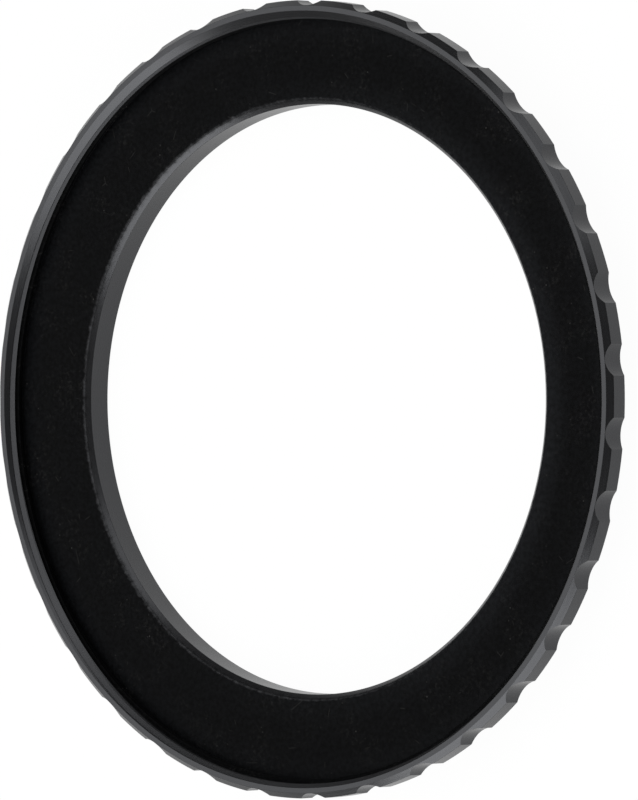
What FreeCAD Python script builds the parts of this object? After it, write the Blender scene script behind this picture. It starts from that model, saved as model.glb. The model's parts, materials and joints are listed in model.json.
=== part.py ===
"""Step-up ring: a flat turned ring that carries a wide filter on a narrower lens thread.

The ring lies on its male thread. The Z axis is the axis of the ring, and the origin is at the
centre of the thread's end, on the surface that the ring lies on. Lengths are in millimetres.
"""
import FreeCAD, Part
import os
from enum import IntEnum

import Sketcher

doc = FreeCAD.newDocument("StepUpRing")

# Driving dimensions. Each radius and height of the section is a sum of these.

SIZES = [
    ("male_thread_radius", 33.5, "outside of the thread that goes into the lens"),
    ("male_lead_bevel", 0.4, "bevel at the end of the male thread"),
    ("male_thread_length", 1.7, "threaded length between the bevel and the relief groove"),
    ("male_relief_depth", 0.45, "depth of the male thread's relief groove"),
    ("male_relief_width", 0.5, "width of the male thread's relief groove"),
    ("male_wall", 1.45, "wall between the relief groove and the light path"),
    ("bore_bevel", 0.6, "bevel from the light path to the floor of the recess"),
    ("bore_edge_break", 0.2, "bevel from the light path to the end of the male thread"),
    ("web_thickness", 0.95, "flat plate that joins the two threads"),
    ("thread_step", 7.1, "from the outside of the male thread to the female thread's crests"),
    ("female_thread_length", 1.15, "threaded length between the relief groove and the mouth"),
    ("female_relief_depth", 0.5, "depth of the female thread's relief groove"),
    ("female_relief_width", 0.6, "width of the female thread's relief groove"),
    ("female_lead_bevel", 0.9, "bevel at the mouth of the female thread"),
    ("front_land", 0.55, "flat of the front face between its two bevels"),
    ("grip_edge_depth", 0.6, "radial depth of the bevels in front of and behind the grip"),
    ("grip_rear_rise", 0.2, "height of the bevel behind the grip"),
    ("scallop_cutter_radius", 2.8, "radius of the hollow of each scallop"),
    ("scallop_rim", 0.03, "what a scallop leaves of the front bevel"),
    ("scallop_count", 35, "scallops round the grip"),
    ("scallop_phase", 5.5, "angle from the X axis to the first scallop, in degrees"),
]

sheet = doc.addObject("Spreadsheet::Sheet", "Sizes")
for row, (alias, value, meaning) in enumerate(SIZES, start=1):
    sheet.set(f"A{row}", meaning)
    sheet.set(f"B{row}", str(value))
    sheet.setAlias(f"B{row}", alias)
doc.recompute()

# Radii of the section, from the light path outwards

MALE_OUTSIDE = "Sizes.male_thread_radius"
MALE_ROOT = f"({MALE_OUTSIDE} - Sizes.male_relief_depth)"
BORE = f"({MALE_ROOT} - Sizes.male_wall)"
FEMALE_CREST = f"({MALE_OUTSIDE} + Sizes.thread_step)"
FEMALE_ROOT = f"({FEMALE_CREST} + Sizes.female_relief_depth)"
MOUTH = f"({FEMALE_CREST} + Sizes.female_lead_bevel)"
FACE_EDGE = f"({MOUTH} + Sizes.front_land)"
GRIP = f"({FACE_EDGE} + Sizes.grip_edge_depth)"

# Heights of the section, from the end of the male thread upwards

GROOVE_START = "(Sizes.male_lead_bevel + Sizes.male_thread_length)"
SHOULDER = f"({GROOVE_START} + Sizes.male_relief_width)"
FLOOR = f"({SHOULDER} + Sizes.web_thickness)"
THREAD_START = f"({FLOOR} + Sizes.female_relief_width)"
THREAD_END = f"({THREAD_START} + Sizes.female_thread_length)"
FRONT = f"({THREAD_END} + Sizes.female_lead_bevel)"
CONE_TOP = f"({SHOULDER} + {FACE_EDGE} - {FEMALE_ROOT})"

# Corners of the section as radius and height, anticlockwise from the end of the male thread.
# A corner with no height lies on the surface that the ring rests on.

SECTION = [
    ("end_inner", f"{BORE} + Sizes.bore_edge_break", None),
    ("end_outer", f"{MALE_OUTSIDE} - Sizes.male_lead_bevel", None),
    ("male_thread_start", MALE_OUTSIDE, "Sizes.male_lead_bevel"),
    ("male_thread_end", MALE_OUTSIDE, GROOVE_START),
    ("male_groove_start", MALE_ROOT, GROOVE_START),
    ("male_groove_end", MALE_ROOT, SHOULDER),
    ("cone_foot", FEMALE_ROOT, SHOULDER),
    ("cone_top", FACE_EDGE, CONE_TOP),
    ("grip_rear", GRIP, f"{CONE_TOP} + Sizes.grip_rear_rise"),
    ("grip_front", GRIP, f"{FRONT} - Sizes.grip_edge_depth"),
    ("face_outer", FACE_EDGE, FRONT),
    ("face_inner", MOUTH, FRONT),
    ("female_thread_end", FEMALE_CREST, THREAD_END),
    ("female_thread_start", FEMALE_CREST, THREAD_START),
    ("female_groove_end", FEMALE_ROOT, THREAD_START),
    ("female_groove_start", FEMALE_ROOT, FLOOR),
    ("floor_inner", f"{BORE} + Sizes.bore_bevel", FLOOR),
    ("bore_front", BORE, f"{FLOOR} - Sizes.bore_bevel"),
    ("bore_rear", BORE, "Sizes.bore_edge_break"),
]

SCALLOP_CENTRE = f"({FACE_EDGE} + Sizes.scallop_rim + Sizes.scallop_cutter_radius)"
FULL_TURN = 360


class Vertex(IntEnum):
    """How a sketch constraint names the points of a line, an arc or a circle."""

    START = 1
    END = 2
    CENTRE = 3


class Axis(IntEnum):
    """How a sketch constraint names the sketch's own axes."""

    ACROSS = -1


ORIGIN = (Axis.ACROSS, Vertex.START)


def millimetres(expression):
    """A sheet expression as a length."""
    return f"({expression}) * 1 mm"


def origin_plane(body, role):
    """One of the body's own origin planes."""
    return next(item for item in body.Origin.OriginFeatures if item.Role == role)


def new_sketch(body, name, role):
    """An empty sketch on one of the body's origin planes."""
    sketch = body.newObject("Sketcher::SketchObject", name)
    sketch.AttachmentSupport = [(origin_plane(body, role), "")]
    sketch.MapMode = "FlatFace"
    return sketch


def bind(sketch, name, constraint, expression):
    """Adds a named dimension to a sketch and binds it to the sheet."""
    index = sketch.addConstraint(constraint)
    sketch.renameConstraint(index, name)
    sketch.setExpression(f"Constraints.{name}", millimetres(expression))


def add_section(sketch, corners):
    """Draws a closed outline whose corners are placed by the sheet."""
    guess = [
        FreeCAD.Vector(sheet.evalExpression(radius), sheet.evalExpression(height or "0"), 0)
        for name, radius, height in corners
    ]
    for index, start in enumerate(guess):
        sketch.addGeometry(Part.LineSegment(start, guess[(index + 1) % len(guess)]), False)
    for index, (name, radius, height) in enumerate(corners):
        following = (index + 1) % len(corners)
        sketch.addConstraint(
            Sketcher.Constraint("Coincident", index, Vertex.END, following, Vertex.START)
        )
        across = Sketcher.Constraint("DistanceX", *ORIGIN, index, Vertex.START, guess[index].x)
        bind(sketch, f"{name}_radius", across, radius)
        if height is None:
            sketch.addConstraint(
                Sketcher.Constraint("PointOnObject", index, Vertex.START, Axis.ACROSS)
            )
        else:
            up = Sketcher.Constraint("DistanceY", *ORIGIN, index, Vertex.START, guess[index].y)
            bind(sketch, f"{name}_height", up, height)


def turned_blank(body):
    """The ring as it leaves the lathe, before the grip is scalloped."""
    sketch = new_sketch(body, "Section", "XZ_Plane")
    add_section(sketch, SECTION)
    blank = body.newObject("PartDesign::Revolution", "TurnedBlank")
    blank.Profile = sketch
    blank.ReferenceAxis = (sketch, ["V_Axis"])
    blank.Angle = FULL_TURN
    doc.recompute()
    return blank


def first_scallop(body):
    """One hollow along the whole height of the grip, tangent to a rim inside its edge."""
    sketch = new_sketch(body, "ScallopCutter", "XY_Plane")
    sketch.setExpression("AttachmentOffset.Rotation.Angle", "Sizes.scallop_phase * 1 deg")
    centre = FreeCAD.Vector(sheet.evalExpression(SCALLOP_CENTRE), 0, 0)
    radius = sheet.get("scallop_cutter_radius")
    circle = sketch.addGeometry(Part.Circle(centre, FreeCAD.Vector(0, 0, 1), radius), False)
    sketch.addConstraint(Sketcher.Constraint("PointOnObject", circle, Vertex.CENTRE, Axis.ACROSS))
    across = Sketcher.Constraint("DistanceX", *ORIGIN, circle, Vertex.CENTRE, centre.x)
    bind(sketch, "cutter_centre", across, SCALLOP_CENTRE)
    bind(sketch, "cutter_radius", Sketcher.Constraint("Radius", circle, radius),
         "Sizes.scallop_cutter_radius")
    pocket = body.newObject("PartDesign::Pocket", "Scallop")
    pocket.Profile = sketch
    pocket.Type = "ThroughAll"
    pocket.Reversed = True
    doc.recompute()
    return pocket


def all_scallops(body, scallop):
    """The first scallop repeated evenly round the ring."""
    pattern = body.newObject("PartDesign::PolarPattern", "Scallops")
    pattern.Originals = [scallop]
    pattern.Axis = (scallop.Profile[0], ["N_Axis"])
    pattern.Angle = FULL_TURN
    pattern.setExpression("Occurrences", "Sizes.scallop_count")
    body.Tip = pattern
    doc.recompute()
    return pattern


def step_up_ring():
    """The whole ring, which is one piece."""
    body = doc.addObject("PartDesign::Body", "StepUpRing")
    body.Label = "step_up_ring"
    blank = turned_blank(body)
    scallop = first_scallop(body)
    pattern = all_scallops(body, scallop)
    if not pattern.Shape.Volume < scallop.Shape.Volume < blank.Shape.Volume:
        raise RuntimeError("the scallops cut nothing")
    body.Placement = FreeCAD.Placement()
    return body


def check_document(subparts):
    """Stops if any feature failed or any sub-part isn't one whole solid."""
    for item in doc.Objects:
        if "Invalid" in item.State or "Error" in item.State:
            raise RuntimeError(f"{item.Name} failed: {item.State}")
    for subpart in subparts:
        shape = subpart.Shape
        if shape.isNull() or not shape.isValid() or len(shape.Solids) != 1:
            raise RuntimeError(f"{subpart.Label} isn't one valid solid")


def main():
    subparts = [step_up_ring()]
    doc.recompute()
    check_document(subparts)
    os.makedirs("parts", exist_ok=True)
    for subpart in subparts:
        subpart.Shape.exportStep(f"parts/{subpart.Label}.step")
        box = subpart.Shape.BoundBox
        print(f"{subpart.Label}: {box.XLength:.2f} x {box.YLength:.2f} x {box.ZLength:.2f} mm, "
              f"{subpart.Shape.Volume:.1f} cubic mm")


main()
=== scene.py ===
import json
import math
from contextlib import contextmanager
from typing import NamedTuple

import bpy
from mathutils import Matrix, Vector


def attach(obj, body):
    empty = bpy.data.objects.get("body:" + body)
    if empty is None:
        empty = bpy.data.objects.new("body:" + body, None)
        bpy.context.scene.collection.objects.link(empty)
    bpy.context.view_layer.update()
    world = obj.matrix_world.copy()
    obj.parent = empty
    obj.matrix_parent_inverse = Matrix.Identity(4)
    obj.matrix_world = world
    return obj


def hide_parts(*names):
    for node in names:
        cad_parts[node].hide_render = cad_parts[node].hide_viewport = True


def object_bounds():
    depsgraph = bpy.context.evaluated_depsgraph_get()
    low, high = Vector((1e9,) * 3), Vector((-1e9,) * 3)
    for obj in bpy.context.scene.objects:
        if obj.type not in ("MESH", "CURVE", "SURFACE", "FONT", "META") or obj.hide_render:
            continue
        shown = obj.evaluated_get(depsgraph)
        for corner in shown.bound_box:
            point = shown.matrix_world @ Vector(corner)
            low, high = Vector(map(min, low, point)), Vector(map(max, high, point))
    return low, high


bl_info = {
    "name": "Step-up ring",
    "version": (1, 0, 0),
    "blender": (4, 5, 0),
    "location": "View3D > Sidebar > Step-up ring",
    "description": "Turns, threads and finishes a step-up ring, and lights it in a small studio",
    "category": "Object",
}

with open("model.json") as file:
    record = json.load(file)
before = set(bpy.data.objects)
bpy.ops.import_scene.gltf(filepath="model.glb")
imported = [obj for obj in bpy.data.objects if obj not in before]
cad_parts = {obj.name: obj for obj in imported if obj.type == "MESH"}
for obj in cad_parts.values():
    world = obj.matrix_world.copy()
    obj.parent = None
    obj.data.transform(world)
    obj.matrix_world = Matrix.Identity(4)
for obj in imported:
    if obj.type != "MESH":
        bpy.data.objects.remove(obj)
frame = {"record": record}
CAD_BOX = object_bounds()
CAD_NODE = "step_up_ring"
MM = 0.001
FULL_TURN = 2 * math.pi
MOUNTS = {mount["name"]: mount for mount in frame["record"]["mounts"]}

# Points nearer than these count as one place, and as one point of a mesh

TOUCHING = 0.001 * MM
DOUBLED = 0.0001 * MM

# Turning and threading. RIM_CORNER is the place in section_corners of the corner between the
# recess floor and the bevel of the light path, which is rounder than the others.

RIM_CORNER = 16
RIM_SEGMENTS = 6
EDGE_SEGMENTS = 2
SCALLOP_SIDES = 144
FLANK_ANGLE = math.radians(30)
PAST_CREST = 0.05 * MM
MALE_TURNS = 4
SMOOTH_UP_TO = math.radians(10)

# Edge of the matte coat. Its reach up the thread wall, with its lean and climb, is painted shade.
# Widths are in millimetres, and a greater sharpness keeps the rise of the edge nearer to its own
# side of the ring.

NEAR_SIDE = 0
RAGGEDNESS = 0.65
WORN_INSIDE = 0.38
WORN_OUTSIDE = 0.2
LEAN_SHARPNESS = 3
CLIMB_SHARPNESS = 6
MOUTH_BLUR = 0.03
WEB_BLUR = 0.1
OUTER_BLUR = 0.02

# Anodised metal

RING_SLANT = 1.3
RING_ROUGHNESS = 0.10
SMUDGE_ROUGHNESS = 0.08
GRAIN_RELIEF = 0.4
SHEEN_TINT = (0.925, 0.945, 1.0, 1.0)

# A paler rim, painted light at the wall's foot, and dust on the matte coat, with widths in
# millimetres

RIM_PALE_WIDTH = 3.4
# Painted light: the foot band lightens the coat next to the wall.
FOOT_PAINTED_LIGHT_WIDTH = 3
FOOT_PAINTED_LIGHT = 0.5
ON_FLOOR = 0.02
OFF_FLOOR = 0.1
FINE_DUST = 0.24
HAIRLINE_DUST = 0.28
GRAIN_ROUGHNESS = 0.2

# Studio

SENSOR_WIDTH = 36
NEAREST_SEEN = 0.05
FARTHEST_SEEN = 20

WHITE = (1, 1, 1, 1)


class Softbox(NamedTuple):
    """Where a lit panel hangs, as seen from the ring, and how large it is."""

    direction: tuple
    distance: float
    width: float
    height: float


KEY_SOFTBOX = Softbox(direction=(0.19, -0.88, 0.36), distance=0.5, width=0.6, height=0.46)
FILL_SOFTBOX = Softbox(direction=(0.42, 0.74, 0.52), distance=0.8, width=0.5, height=0.5)
TOP_SOFTBOX = Softbox(direction=(-0.309, 0, 0.951), distance=0.8, width=1.3, height=1.3)


def mount_radius(name):
    """The wall radius of one of the ring's threads."""
    return MOUNTS[name]["dims"]["r_mm"] * MM


def mount_length(name):
    """The length of one of the ring's threads along the axis."""
    return MOUNTS[name]["dims"]["length_mm"] * MM


def length(name, description, default):
    """A length that the sidebar shows."""
    return bpy.props.FloatProperty(
        name=name, description=description, default=default, min=0, precision=5,
        subtype="DISTANCE", unit="LENGTH",
    )


def share(name, description, default):
    """A value between 0 and 1 that the sidebar shows."""
    return bpy.props.FloatProperty(
        name=name, description=description, default=default, min=0, max=1, subtype="FACTOR",
    )


def angle(name, description, degrees):
    """An angle that the sidebar shows."""
    return bpy.props.FloatProperty(
        name=name, description=description, default=math.radians(degrees),
        subtype="ANGLE", unit="ROTATION",
    )


def amount(name, description, default):
    """A plain number that the sidebar shows."""
    return bpy.props.FloatProperty(name=name, description=description, default=default, min=0)


def colour(name, description, default):
    """A colour that the sidebar shows."""
    return bpy.props.FloatVectorProperty(
        name=name, description=description, default=default, min=0, max=1, size=3,
        subtype="COLOR",
    )


class RingSizes(bpy.types.PropertyGroup):
    """The turned section, its threads and its scallops."""

    height: length("Height", "From the male thread's end to the front face", CAD_BOX[1].z)
    male_radius: length("Male thread", "Crest radius", mount_radius("rear_thread"))
    male_length: length("Male length", "Threaded length", mount_length("rear_thread"))
    male_lead: length("Male lead", "Bevel at the end of the male thread", 0.4 * MM)
    male_relief_depth: length("Male relief depth", "Groove at the shoulder", 0.45 * MM)
    male_relief_width: length("Male relief width", "Groove at the shoulder", 0.5 * MM)
    male_wall: length("Male wall", "Between the relief groove and the light path", 1.45 * MM)
    bore_bevel: length("Bore bevel", "From the light path to the recess floor", 0.6 * MM)
    bore_edge: length("Bore edge", "Bevel where the light path meets the end", 0.2 * MM)
    web: length("Web", "Thickness of the plate between the threads", 0.95 * MM)
    female_radius: length("Female thread", "Crest radius", mount_radius("front_thread"))
    female_length: length("Female length", "Threaded length", mount_length("front_thread"))
    female_relief_depth: length("Female relief depth", "Groove at the recess floor", 0.5 * MM)
    female_relief_width: length("Female relief width", "Groove at the recess floor", 0.6 * MM)
    female_lead: length("Female lead", "Bevel at the mouth of the recess", 0.9 * MM)
    front_land: length("Front land", "Flat of the front face", 0.55 * MM)
    grip_edge: length("Grip edge", "Radial depth of the bevels round the grip", 0.6 * MM)
    grip_rear_rise: length("Grip rear rise", "Height of the bevel behind the grip", 0.2 * MM)
    scallop_radius: length("Scallop radius", "Radius of each hollow", 2.8 * MM)
    scallop_rim: length("Scallop rim", "What a scallop leaves of the front bevel", 0.03 * MM)
    scallop_count: bpy.props.IntProperty(
        name="Scallops", description="Hollows round the grip", default=35, min=3,
    )
    scallop_phase: angle("Scallop phase", "From the X axis to the first scallop", 5.5)
    edge_radius: length("Edge radius", "Rounding that the anodising leaves on each edge", 0.03 * MM)
    pitch: length("Pitch", "Pitch of both threads", 0.75 * MM)
    female_depth: length("Female thread depth", "From crest to root", 0.48 * MM)
    male_depth: length("Male thread depth", "From crest to root", 0.46 * MM)
    root_flat: length("Root flat", "Half width of a thread's root", 0.05 * MM)
    female_start: angle("Female thread start", "Where the female thread begins", 108)
    run_out_radius: length("Run-out radius", "Root of the groove in the mouth", 41.25 * MM)
    run_out_drop: length("Run-out drop", "From the front face to the groove's middle", 0.41 * MM)
    run_out_shift: length("Run-out shift", "How far the groove lies off the axis", 0.33 * MM)
    run_out_tilt: angle("Run-out tilt", "How far the groove leans", 0.48)
    run_out_side: angle("Run-out side", "Towards which the groove is shifted", 287)
    rim_radius: length("Rim radius", "Rounding between the recess floor and the bevel", 0.28 * MM)
    facets: bpy.props.IntProperty(
        name="Facets", description="Facets in each scallop's share of the ring", default=20, min=4,
    )


class RingFinish(bpy.types.PropertyGroup):
    """The black anodised surfaces, and the matte black of the recess."""

    satin: colour("Satin black", "Anodised metal", (0.0070, 0.0070, 0.0074))
    satin_roughness: share("Satin roughness", "Of the anodised metal", 0.28)
    satin_index: amount("Satin index", "Refractive index of the anodised layer", 1.5)
    matte: colour("Matte black", "Coat of the recess", (0.0013, 0.0014, 0.0016))
    dust: colour("Dust", "Specks and hairlines on the coat", (0.032, 0.0315, 0.03))
    matte_roughness: share("Matte roughness", "Of the recess", 0.62)
    matte_index: amount("Matte index", "Refractive index of the matte coat", 1.12)
    # These three set how far up the thread wall the matte black reaches, which is painted shade.
    painted_shade_drop: length("Painted shade drop", "From the front face down to the matte coat", 0.95 * MM)
    painted_shade_lean: length("Painted shade lean", "Rise of the coat's edge on the run-out side", 0.52 * MM)
    painted_shade_climb: length("Painted shade climb", "Rise of the coat's edge on the near side", 0.75 * MM)
    marks: length("Turning marks", "Height of the marks that the lathe leaves", 0.0012 * MM)
    grain: length("Grain", "Height of the grain of the matte coat", 0.004 * MM)


class StudioSettings(bpy.types.PropertyGroup):
    """Floor, lamps and camera."""

    floor_size: length("Floor size", "Side of the floor", 6.0)
    floor: colour("Floor", "Pale floor", (0.84, 0.84, 0.84))
    glow: share("Floor glow", "How white the floor shows", 0.97)
    sheen: share("Floor sheen", "How white the floor shows in the ring", 0.95)
    ambient: amount("Ambient", "Light from all round", 0.08)
    key: amount("Key", "Radiance of the key softbox", 3.7)
    fill: amount("Fill", "Radiance of the fill softbox", 1.7)
    top: amount("Top", "Radiance of the overhead softbox", 1.82)
    camera_distance: length("Camera distance", "From the point that it aims at", 867.4 * MM)
    camera_tilt: angle("Camera tilt", "Between the view and the ring's axis", 39.6)
    aim: bpy.props.FloatVectorProperty(
        name="Aim", description="The point at the centre of the picture",
        default=(2.08 * MM, -0.08 * MM, 4.48 * MM), size=3, subtype="XYZ_LENGTH", unit="LENGTH",
    )
    lens: amount("Lens", "Focal length in millimetres", 365.5)


def settings():
    """The values of the sidebar."""
    scene = bpy.context.scene
    return scene.ring_sizes, scene.ring_finish, scene.ring_studio


def pick(obj):
    """Makes one object the only one that operators act on."""
    bpy.ops.object.select_all(action="DESELECT")
    bpy.context.view_layer.objects.active = obj
    obj.select_set(True)


@contextmanager
def edit_mode(obj):
    """Opens an object for editing, with all of its mesh selected."""
    pick(obj)
    bpy.ops.object.mode_set(mode="EDIT")
    bpy.ops.mesh.select_all(action="SELECT")
    yield obj
    bpy.ops.object.mode_set(mode="OBJECT")


def apply_modifier(obj, kind, **values):
    """Adds a modifier with these values and applies it."""
    pick(obj)
    modifier = obj.modifiers.new(kind.title(), kind)
    for name, value in values.items():
        setattr(modifier, name, value)
    bpy.ops.object.modifier_apply(modifier=modifier.name)


def place_in_mesh(obj):
    """Moves an object's place into its mesh."""
    pick(obj)
    bpy.ops.object.transform_apply(location=True, rotation=True, scale=True)


def close_up(obj):
    """Merges doubled points and points every face outwards."""
    with edit_mode(obj):
        bpy.ops.mesh.remove_doubles(threshold=DOUBLED)
        bpy.ops.mesh.normals_make_consistent(inside=False)


def select_points(obj, chosen):
    """Selects the points of a mesh whose place passes a test, and nothing else."""
    bpy.ops.mesh.select_all(action="DESELECT")
    bpy.ops.object.mode_set(mode="OBJECT")
    for vertex in obj.data.vertices:
        vertex.select = chosen(vertex.co)
    bpy.ops.object.mode_set(mode="EDIT")


def facet_count(sizes):
    """Facets round the whole ring, a whole number to each scallop."""
    return sizes.scallop_count * sizes.facets


def spin_full_turn(sizes):
    """Spins the selected outline all the way round the Z axis."""
    bpy.ops.mesh.spin(
        steps=facet_count(sizes), angle=FULL_TURN,
        center=(0, 0, 0), axis=(0, 0, 1), use_auto_merge=True,
    )


def draw_outline(name, corners):
    """A closed outline in the XZ plane through corners given as radius and height."""
    points = [Vector((radius, 0, height)) for radius, height in corners]
    bpy.ops.object.select_all(action="DESELECT")
    bpy.ops.mesh.primitive_plane_add(size=MM, location=points[0])
    outline = bpy.context.object
    outline.name = name
    place_in_mesh(outline)
    with edit_mode(outline):
        bpy.ops.mesh.merge(type="CENTER")
        for start, end in zip(points, points[1:]):
            bpy.ops.mesh.extrude_vertices_move(TRANSFORM_OT_translate={"value": end - start})
        ends = (points[0], points[-1])
        select_points(outline, lambda at: any((at - end).length < TOUCHING for end in ends))
        bpy.ops.mesh.edge_face_add()
    return outline


def section_corners(sizes):
    """Radius and height of each corner of the turned section, from the male thread's end."""
    male_root = sizes.male_radius - sizes.male_relief_depth
    bore = male_root - sizes.male_wall
    female_root = sizes.female_radius + sizes.female_relief_depth
    mouth = sizes.female_radius + sizes.female_lead
    face_edge = mouth + sizes.front_land
    grip = face_edge + sizes.grip_edge
    groove = sizes.male_lead + sizes.male_length
    shoulder = groove + sizes.male_relief_width
    floor = shoulder + sizes.web
    thread_start = floor + sizes.female_relief_width
    thread_end = thread_start + sizes.female_length
    cone_top = shoulder + face_edge - female_root
    return [
        (bore + sizes.bore_edge, 0),
        (sizes.male_radius - sizes.male_lead, 0),
        (sizes.male_radius, sizes.male_lead),
        (sizes.male_radius, groove),
        (male_root, groove),
        (male_root, shoulder),
        (female_root, shoulder),
        (face_edge, cone_top),
        (grip, cone_top + sizes.grip_rear_rise),
        (grip, sizes.height - sizes.grip_edge),
        (face_edge, sizes.height),
        (mouth, sizes.height),
        (sizes.female_radius, thread_end),
        (sizes.female_radius, thread_start),
        (female_root, thread_start),
        (female_root, floor),
        (bore + sizes.bore_bevel, floor),
        (bore, floor - sizes.bore_bevel),
        (bore, sizes.bore_edge),
    ]


def turn_blank(sizes):
    """The ring as the lathe leaves it, with every edge of its section rounded."""
    corners = section_corners(sizes)
    blank = draw_outline("threaded_ring", corners)
    rim = [corners[RIM_CORNER]]
    others = corners[:RIM_CORNER] + corners[RIM_CORNER + 1:]
    roundings = (
        (rim, sizes.rim_radius, RIM_SEGMENTS),
        (others, sizes.edge_radius, EDGE_SEGMENTS),
    )
    with edit_mode(blank):
        for chosen, radius, segments in roundings:
            places = [Vector((across, 0, up)) for across, up in chosen]
            select_points(blank, lambda at: any((at - place).length < TOUCHING for place in places))
            bpy.ops.mesh.bevel(offset=radius, segments=segments, affect="VERTICES")
        bpy.ops.mesh.select_all(action="SELECT")
        spin_full_turn(sizes)
    close_up(blank)
    return blank


def scallop_cutters(sizes):
    """One upright cylinder for each hollow of the grip."""
    face_edge = sizes.female_radius + sizes.female_lead + sizes.front_land
    reach = face_edge + sizes.scallop_rim + sizes.scallop_radius
    centre = Matrix.Rotation(sizes.scallop_phase, 3, "Z") @ Vector((reach, 0, sizes.height / 2))
    bpy.ops.object.select_all(action="DESELECT")
    bpy.ops.mesh.primitive_cylinder_add(
        vertices=SCALLOP_SIDES, radius=sizes.scallop_radius, depth=2 * sizes.height, location=centre,
    )
    cutters = bpy.context.object
    place_in_mesh(cutters)
    spacing = FULL_TURN / sizes.scallop_count
    with edit_mode(cutters):
        bpy.ops.mesh.spin(
            steps=sizes.scallop_count - 1, angle=FULL_TURN - spacing, dupli=True,
            center=(0, 0, 0), axis=(0, 0, 1),
        )
    close_up(cutters)
    return cutters


def groove_outline(sizes, name, crest, depth, middle):
    """The section of a thread's groove, from its root to just past its crest."""
    outward = math.copysign(1, depth)
    root = crest + depth
    past_crest = crest - outward * PAST_CREST
    half_width = sizes.root_flat + abs(root - past_crest) * math.tan(FLANK_ANGLE)
    return draw_outline(name, [
        (root, middle - sizes.root_flat),
        (root, middle + sizes.root_flat),
        (past_crest, middle + half_width),
        (past_crest, middle - half_width),
    ])


def half_facet(sizes):
    """Half of the angle between two steps of a spin."""
    return FULL_TURN / sizes.scallop_count / sizes.facets / 2


def thread_cutter(sizes, name, crest, depth, lowest, turns, start):
    """A helical ridge that cuts a thread's groove, upwards from its lowest middle."""
    cutter = groove_outline(sizes, name, crest, depth, lowest)
    steps = round(facet_count(sizes) * turns)
    apply_modifier(
        cutter, "SCREW", angle=FULL_TURN * turns, iterations=1, screw_offset=sizes.pitch * turns,
        steps=steps, render_steps=steps, use_merge_vertices=False, use_smooth_shade=False,
    )
    with edit_mode(cutter):
        bpy.ops.mesh.fill_holes(sides=4)
    cutter.rotation_euler.z = start + half_facet(sizes)
    place_in_mesh(cutter)
    close_up(cutter)
    return cutter


def cut(piece, cutter):
    """Cuts one shape out of another and throws the cutter away."""
    apply_modifier(piece, "BOOLEAN", operation="DIFFERENCE", object=cutter, solver="MANIFOLD")
    bpy.data.objects.remove(cutter)


def female_cutter(sizes):
    """The groove of the female thread, from the relief groove up to the mouth."""
    lowest = sizes.height - sizes.female_lead - sizes.female_length
    turns = sizes.female_length / sizes.pitch
    return thread_cutter(sizes, "female_groove", sizes.female_radius, sizes.female_depth,
                         lowest, turns, sizes.female_start)


def run_out_cutter(sizes):
    """The shallow groove in the mouth, which lies a little off the axis and leans."""
    middle = sizes.height - sizes.run_out_drop
    depth = sizes.run_out_radius - sizes.female_radius
    cutter = groove_outline(sizes, "run_out_groove", sizes.female_radius, depth, middle)
    with edit_mode(cutter):
        spin_full_turn(sizes)
    side = Matrix.Rotation(sizes.run_out_side, 3, "Z") @ Vector((1, 0, 0))
    hinge = side.cross((0, 0, 1))
    tilt = Matrix.Rotation(sizes.run_out_tilt, 4, hinge)
    centre = Vector((0, 0, middle))
    cutter.matrix_world = (
        Matrix.Translation(centre + side * sizes.run_out_shift) @ tilt
        @ Matrix.Rotation(half_facet(sizes), 4, "Z") @ Matrix.Translation(-centre)
    )
    place_in_mesh(cutter)
    close_up(cutter)
    return cutter


def male_cutter(sizes):
    """The groove of the male thread, which starts below the ring's end so that it runs out there."""
    lowest = -0.5 * sizes.pitch
    return thread_cutter(sizes, "male_groove", sizes.male_radius, -sizes.male_depth,
                         lowest, MALE_TURNS, 0)


class Value:
    """A number that a material works out over the surface."""

    def __init__(self, recipe, socket):
        self.recipe = recipe
        self.socket = socket

    def maths(self, operation, *others):
        """This value and others through one Math node."""
        inputs = dict(enumerate((self, *others)))
        return self.recipe.node("Math", {"operation": operation}, inputs)

    def __add__(self, other):
        return self.maths("ADD", other)

    def __radd__(self, other):
        return self.maths("ADD", other)

    def __sub__(self, other):
        return self.maths("SUBTRACT", other)

    def __rsub__(self, other):
        return (self * -1).maths("ADD", other)

    def __mul__(self, other):
        return self.maths("MULTIPLY", other)

    def __rmul__(self, other):
        return self.maths("MULTIPLY", other)

    def __truediv__(self, other):
        return self.maths("DIVIDE", other)

    def above(self, low, high):
        """0 below low and 1 above high, with a smooth rise between."""
        return self.recipe.node(
            "MapRange", {"interpolation_type": "SMOOTHSTEP"},
            {"Value": self, "From Min": low, "From Max": high},
        )

    def centred(self):
        """A value between 0 and 1, moved to lie evenly about 0."""
        return self - 0.5

    def halfway_up(self):
        """Half of a value on top of a half, so that -1 gives 0 and 1 stays 1."""
        return self * 0.5 + 0.5

    def towards(self, side):
        """For an angle round the axis: 1 on one side of the ring and 0 on the side across."""
        return (self - side).maths("COSINE").halfway_up()


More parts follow.
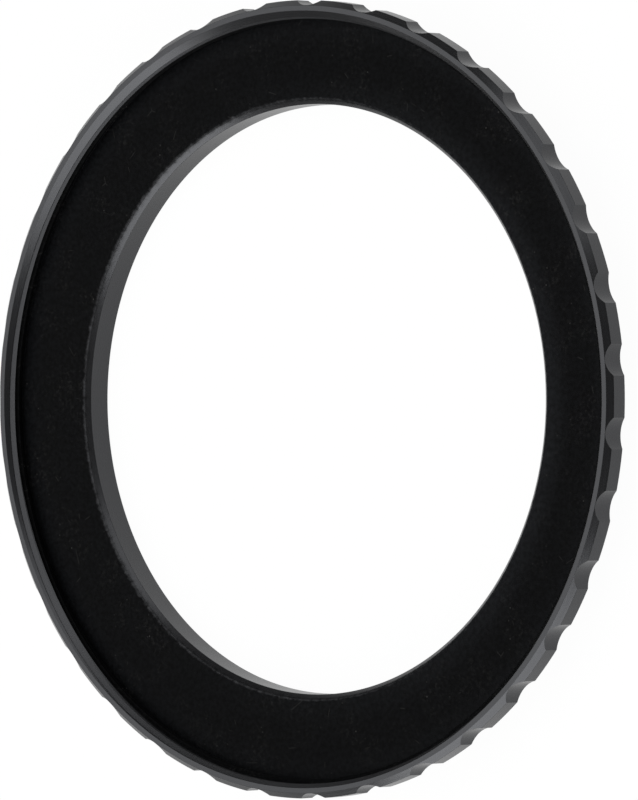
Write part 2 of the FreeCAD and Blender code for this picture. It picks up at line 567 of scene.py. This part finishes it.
class Recipe:
    """The nodes of one material or of the world."""

    def __init__(self, owner):
        owner.use_nodes = True
        self.tree = owner.node_tree
        self.tree.nodes.clear()

    def node(self, kind, options=None, inputs=None, output=0):
        """Adds a node, sets its options, fills its inputs and gives one of its outputs."""
        node = self.tree.nodes.new("ShaderNode" + kind)
        for name, value in (options or {}).items():
            setattr(node, name, value)
        for name, value in (inputs or {}).items():
            if isinstance(value, Value):
                self.tree.links.new(value.socket, node.inputs[name])
            else:
                node.inputs[name].default_value = value
        return Value(self, node.outputs[output]) if node.outputs else None

    def place(self):
        """Radius from the axis and height in millimetres, and the angle round the axis."""
        point = self.node("TexCoord", output="Object")
        x, y, z = (self.node("SeparateXYZ", None, {0: point}, axis) for axis in "XYZ")
        radius = (x * x + y * y).maths("SQRT") / MM
        turn = (y * -1).maths("ARCTAN2", x * -1) + math.pi
        return radius, z / MM, turn

    def noise(self, scale, detail, along=None):
        """Smooth noise with so many features to a millimetre, over the surface or along a value."""
        if along is not None:
            options = {"noise_dimensions": "1D"}
            inputs = {"W": along, "Scale": scale, "Detail": detail}
        else:
            options = {"noise_dimensions": "3D"}
            point = self.node("TexCoord", output="Object")
            inputs = {"Vector": point, "Scale": scale / MM, "Detail": detail}
        return self.node("TexNoise", options, inputs)

    def cells(self, scale, feature, output):
        """A flat pattern of random cells, about so many to a millimetre."""
        point = self.node("TexCoord", output="Object")
        inputs = {"Vector": point, "Scale": scale / MM, "Randomness": 1.0}
        options = {"voronoi_dimensions": "2D", "feature": feature}
        return self.node("TexVoronoi", options, inputs, output)

    def specks(self, scale, size):
        """Up to 1 in small round specks, at most one to a cell, and few of them strong."""
        distance = self.cells(scale, "F1", "Distance")
        chance = self.node("SeparateXYZ", None, {0: self.cells(scale, "F1", "Color")}, "X")
        strength = chance.above(low=0.45, high=1.0)
        return (1 - distance.above(low=size * 0.7, high=size * 1.5)) * strength * strength

    def hairlines(self, scale, width):
        """Up to 1 along a few short curved lines."""
        distance = self.cells(scale, "DISTANCE_TO_EDGE", "Distance")
        patches = self.noise(scale=0.5, detail=1).above(low=0.64, high=0.72)
        return (1 - distance.above(low=width * 0.5, high=width)) * patches

    def blend(self, factor, first, second):
        """One colour that turns into another as the factor goes from 0 to 1."""
        inputs = {"Factor": factor, "A": first, "B": second}
        return self.node("Mix", {"data_type": "RGBA"}, inputs, "Result")

    def bump(self, relief, depth):
        """The normal of a surface whose relief has this depth."""
        return self.node("Bump", None, {"Height": relief, "Distance": depth, "Strength": 1.0})


def rgba(colour_value, strength=1):
    """A colour with full opacity, so many times as strong."""
    return (*(strength * part for part in colour_value), 1)


def bevel_edge(sizes):
    """Radius in millimetres at which the bevel of the light path meets the recess floor."""
    bore = sizes.male_radius - sizes.male_relief_depth - sizes.male_wall
    return (bore + sizes.bore_bevel) / MM


def floor_height(sizes):
    """Height of the recess floor in millimetres."""
    above_floor = sizes.female_lead + sizes.female_length + sizes.female_relief_width
    return (sizes.height - above_floor) / MM


def matte_coat_and_painted_shade(recipe, sizes, finish, place):
    """1 where the recess has its matte coat, from the rim of the light path up into the mouth; on
    the thread wall it is painted shade.
    """
    radius, height, turn = place
    edge = bevel_edge(sizes)
    outer = (sizes.female_radius + sizes.female_lead) / MM
    web = floor_height(sizes) - sizes.bore_bevel / MM
    ragged = radius + recipe.noise(scale=1.7, detail=5).centred() * RAGGEDNESS
    outside_bore = ragged.above(edge - WORN_INSIDE, edge + WORN_OUTSIDE)
    # The top edge on the thread wall is painted shade, leaning towards the run-out side and climbing
    # on the near side.
    lean = turn.towards(sizes.run_out_side).maths("POWER", LEAN_SHARPNESS) * (finish.painted_shade_lean / MM)
    climb = turn.towards(NEAR_SIDE).maths("POWER", CLIMB_SHARPNESS) * (finish.painted_shade_climb / MM)
    top = lean + climb + (sizes.height - finish.painted_shade_drop) / MM
    below_mouth = 1 - (height - top).above(-MOUTH_BLUR, MOUTH_BLUR)
    above_web = height.above(web - WEB_BLUR, web)
    return outside_bore * below_mouth * above_web * (1 - radius.above(outer, outer + OUTER_BLUR))


def satin_black(recipe, finish, place):
    """Black anodised metal with the fine rings that the lathe leaves."""
    radius, height, _ = place
    rings = recipe.noise(scale=14, detail=2, along=radius * RING_SLANT + height)
    grain = recipe.noise(scale=30, detail=2)
    smudge = recipe.noise(scale=0.12, detail=2)
    ring_roughness = rings.centred() * RING_ROUGHNESS
    roughness = finish.satin_roughness + ring_roughness + smudge.centred() * SMUDGE_ROUGHNESS
    tone = recipe.blend(grain, rgba(finish.satin), rgba(finish.satin, 1.5))
    normal = recipe.bump(rings + grain * GRAIN_RELIEF, finish.marks)
    return recipe.node("BsdfPrincipled", None, {
        "Base Color": tone, "Roughness": roughness, "IOR": finish.satin_index, "Normal": normal,
        "Specular Tint": SHEEN_TINT,
    })


def pale_rim_and_painted_foot_light(sizes, place):
    """Up to 1 where the coat is paler: at the near side's rim of the light path, and at the wall's
    foot, where it is painted light.
    """
    radius, height, turn = place
    edge = bevel_edge(sizes)
    wall = sizes.female_radius / MM
    floor = floor_height(sizes)
    near_side = turn.towards(NEAR_SIDE)
    rim = (1 - radius.above(edge, edge + RIM_PALE_WIDTH)) * near_side * near_side
    # Painted light: a lighter band on the floor at the foot of the wall.
    on_floor = 1 - height.above(floor + ON_FLOOR, floor + OFF_FLOOR)
    foot = radius.above(wall - FOOT_PAINTED_LIGHT_WIDTH, wall) * on_floor
    return rim.maths("MAXIMUM", foot * FOOT_PAINTED_LIGHT)


def dust(recipe):
    """Up to 1 in loose patches of fine dust and specks, and along a few hairlines."""
    patches = recipe.noise(scale=0.22, detail=3).above(low=0.42, high=0.68)
    fine = recipe.noise(scale=2.7, detail=3).above(low=0.48, high=0.8) * patches * FINE_DUST
    specks = recipe.specks(scale=0.62, size=0.045) * patches
    hairlines = recipe.hairlines(scale=0.3, width=0.02) * HAIRLINE_DUST
    return fine.maths("MAXIMUM", specks).maths("MAXIMUM", hairlines)


def matte_black_with_painted_light(recipe, sizes, finish, place):
    """The deep black coat of the recess, with dust and specks, paler at its rim on the near side,
    and with painted light at the wall's foot.
    """
    grain = recipe.noise(scale=11, detail=3)
    mottle = recipe.noise(scale=2.2, detail=4).above(low=0.3, high=0.7)
    tone = recipe.blend(mottle, rgba(finish.matte, 0.5), rgba(finish.matte, 1.7))
    # Paler film at the near side's rim; at the wall's foot it is painted light.
    pale_film_and_painted_light = pale_rim_and_painted_foot_light(sizes, place) * mottle.halfway_up()
    lightened = recipe.blend(pale_film_and_painted_light, tone, rgba(finish.matte, 5.5))
    dusty = recipe.blend(dust(recipe), lightened, rgba(finish.dust))
    roughness = finish.matte_roughness + grain.centred() * GRAIN_ROUGHNESS
    normal = recipe.bump(grain, finish.grain)
    return recipe.node("BsdfPrincipled", None, {
        "Base Color": dusty, "Roughness": roughness, "IOR": finish.matte_index, "Normal": normal,
    })


def finish_ring(sizes, finish):
    """The finished material of the ring."""
    material = bpy.data.materials.new("black_anodised_aluminium")
    recipe = Recipe(material)
    place = recipe.place()
    # The coat mask puts the matte black on the recess floor, its real coat, and paints shade up the
    # thread wall.
    coat = matte_coat_and_painted_shade(recipe, sizes, finish, place)
    satin = satin_black(recipe, finish, place)
    matte = matte_black_with_painted_light(recipe, sizes, finish, place)
    surface = recipe.node("MixShader", None, {0: coat, 1: satin, 2: matte})
    recipe.node("OutputMaterial", None, {"Surface": surface})
    return material


def smooth_faces(obj):
    """Smooth shading on the round faces and sharp edges between them."""
    pick(obj)
    bpy.ops.object.shade_smooth_by_angle(angle=SMOOTH_UP_TO)


class OBJECT_OT_threaded_ring(bpy.types.Operator):
    """Turn, scallop, thread and finish the ring"""

    bl_idname = "object.threaded_ring"
    bl_label = "Threaded ring"

    def execute(self, context):
        sizes, finish, _ = settings()
        ring = turn_blank(sizes)
        cut(ring, scallop_cutters(sizes))
        cut(ring, female_cutter(sizes))
        cut(ring, run_out_cutter(sizes))
        cut(ring, male_cutter(sizes))
        with edit_mode(ring):
            bpy.ops.mesh.normals_make_consistent(inside=False)
        smooth_faces(ring)
        ring.data.materials.clear()
        ring.data.materials.append(finish_ring(sizes, finish))
        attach(ring, "root")
        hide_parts(CAD_NODE)
        return {"FINISHED"}


def hang_softbox(name, softbox, radiance):
    """A lit panel that faces the ring from one direction."""
    data = bpy.data.lights.new(name, "AREA")
    data.shape = "RECTANGLE"
    data.size = softbox.width
    data.size_y = softbox.height
    data.energy = radiance * softbox.width * softbox.height * math.pi
    lamp = bpy.data.objects.new(name, data)
    towards = Vector(softbox.direction).normalized()
    lamp.matrix_world = Matrix.Translation(towards * softbox.distance) @ (
        towards.to_track_quat("Z", "Y").to_matrix().to_4x4()
    )
    bpy.context.scene.collection.objects.link(lamp)


def lay_floor(studio):
    """A pale floor that shows white, with the ring's shadow on it."""
    bpy.ops.object.select_all(action="DESELECT")
    bpy.ops.mesh.primitive_plane_add(size=studio.floor_size)
    floor = bpy.context.object
    floor.name = "studio_floor"
    material = bpy.data.materials.new("pale_floor")
    recipe = Recipe(material)
    camera_ray = recipe.node("LightPath", output="Is Camera Ray")
    glossy_ray = recipe.node("LightPath", output="Is Glossy Ray")
    seen = camera_ray * studio.glow + glossy_ray * studio.sheen
    paint = recipe.node("BsdfDiffuse", None, {"Color": rgba(studio.floor)})
    glow = recipe.node("Emission", None, {"Color": WHITE, "Strength": 1.0})
    surface = recipe.node("MixShader", None, {0: seen, 1: paint, 2: glow})
    recipe.node("OutputMaterial", None, {"Surface": surface})
    floor.data.materials.append(material)


def light_world(studio):
    """Even light from all round."""
    world = bpy.data.worlds.new("studio_air")
    bpy.context.scene.world = world
    recipe = Recipe(world)
    sky = recipe.node("Background", None, {"Color": WHITE, "Strength": studio.ambient})
    recipe.node("OutputWorld", None, {"Surface": sky})


def set_camera(studio):
    """A camera that looks down on the ring, turned so that the ring's Y axis is up."""
    data = bpy.data.cameras.new("camera")
    data.sensor_width = SENSOR_WIDTH
    data.lens = studio.lens
    data.clip_start = NEAREST_SEEN
    data.clip_end = FARTHEST_SEEN
    camera = bpy.data.objects.new("camera", data)
    back = Vector((math.sin(studio.camera_tilt), 0, math.cos(studio.camera_tilt)))
    up = Vector((0, 1, 0))
    right = up.cross(back)
    turn = Matrix((right, up, back)).transposed().to_4x4()
    place = Vector(studio.aim) + back * studio.camera_distance
    camera.matrix_world = Matrix.Translation(place) @ turn
    bpy.context.scene.collection.objects.link(camera)
    bpy.context.scene.camera = camera


class OBJECT_OT_ring_studio(bpy.types.Operator):
    """Lay the floor, hang the softboxes and set the camera"""

    bl_idname = "object.ring_studio"
    bl_label = "Ring studio"

    def execute(self, context):
        studio = settings()[2]
        lay_floor(studio)
        light_world(studio)
        hang_softbox("key_softbox", KEY_SOFTBOX, studio.key)
        hang_softbox("fill_softbox", FILL_SOFTBOX, studio.fill)
        hang_softbox("top_softbox", TOP_SOFTBOX, studio.top)
        set_camera(studio)
        context.scene.view_settings.view_transform = "Standard"
        return {"FINISHED"}


class VIEW3D_PT_step_up_ring(bpy.types.Panel):
    """The ring's sizes, finish and studio"""

    bl_label = "Step-up ring"
    bl_idname = "VIEW3D_PT_step_up_ring"
    bl_space_type = "VIEW_3D"
    bl_region_type = "UI"
    bl_category = "Step-up ring"

    def draw(self, context):
        column = self.layout.column()
        for group in settings():
            for name in group.__annotations__:
                column.prop(group, name)
        column.operator(OBJECT_OT_threaded_ring.bl_idname)
        column.operator(OBJECT_OT_ring_studio.bl_idname)


CLASSES = (
    RingSizes,
    RingFinish,
    StudioSettings,
    OBJECT_OT_threaded_ring,
    OBJECT_OT_ring_studio,
    VIEW3D_PT_step_up_ring,
)


def register():
    for item in CLASSES:
        bpy.utils.register_class(item)
    bpy.types.Scene.ring_sizes = bpy.props.PointerProperty(type=RingSizes)
    bpy.types.Scene.ring_finish = bpy.props.PointerProperty(type=RingFinish)
    bpy.types.Scene.ring_studio = bpy.props.PointerProperty(type=StudioSettings)


def unregister():
    del bpy.types.Scene.ring_studio
    del bpy.types.Scene.ring_finish
    del bpy.types.Scene.ring_sizes
    for item in reversed(CLASSES):
        bpy.utils.unregister_class(item)


def main():
    register()
    bpy.ops.object.threaded_ring()
    bpy.ops.object.ring_studio()


if __name__ == "__main__":
    main()
